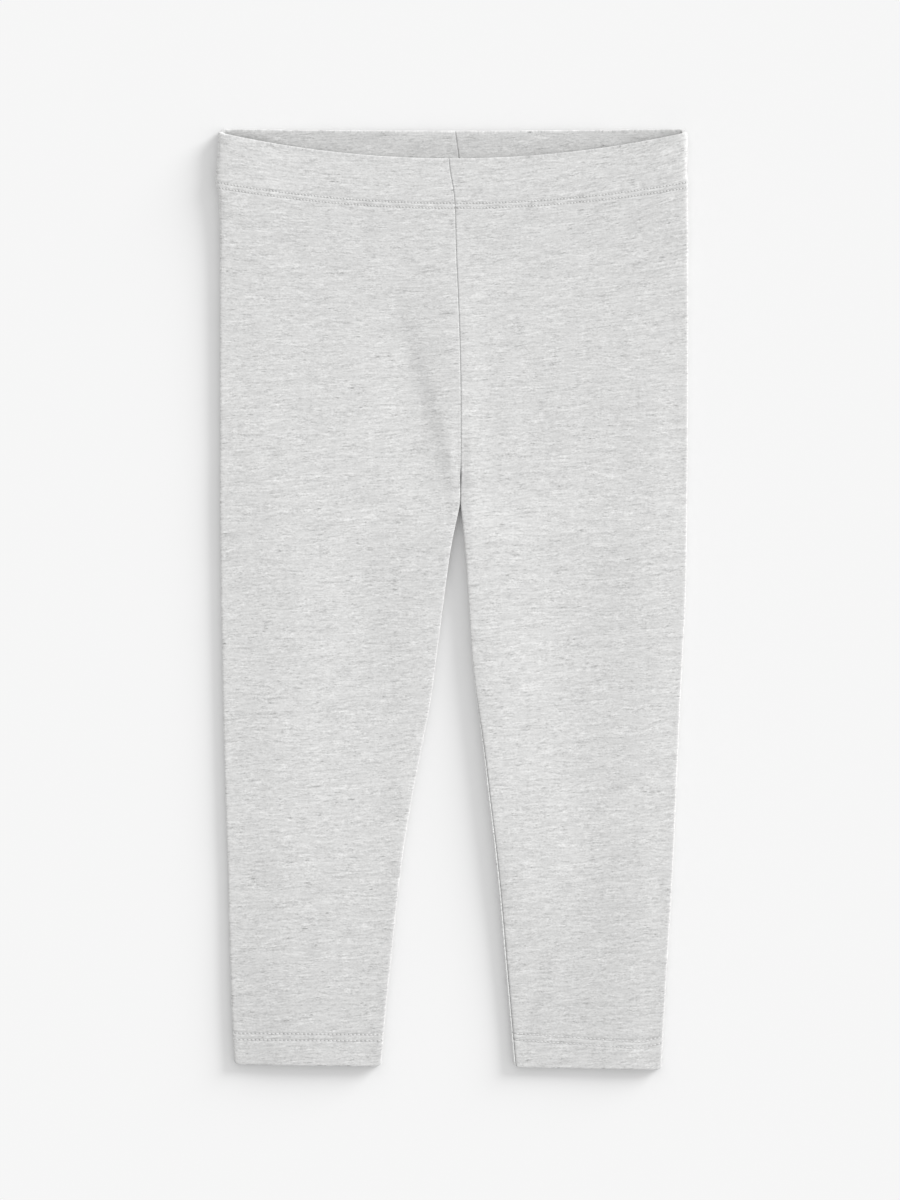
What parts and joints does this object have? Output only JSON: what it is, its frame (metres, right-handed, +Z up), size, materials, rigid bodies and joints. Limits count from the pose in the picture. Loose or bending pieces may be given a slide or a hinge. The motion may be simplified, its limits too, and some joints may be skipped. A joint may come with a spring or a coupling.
{
  "type": "leggings",
  "caption": "Plain marl jersey leggings for a small child, laid flat, with a turned elastic waist, centre seams, inseams and turned hems.",
  "frame": {"origin": "on the surface the leggings lie on, under the middle of their outline", "axes": "+X towards the wearer's left, +Y towards the waist, +Z up from the surface through the front"},
  "size_m": [0.2264, 0.4512, 0.0076],
  "materials": {
    "jersey": "soft matt light grey marl jersey, darker and lighter flecks along the knit rows"
  },
  "bodies": {
    "root": {"leg_right": "jersey", "casing_right": "jersey", "hem_right": "jersey", "leg_left": "jersey", "casing_left": "jersey", "hem_left": "jersey"}
  },
  "joints": []
}
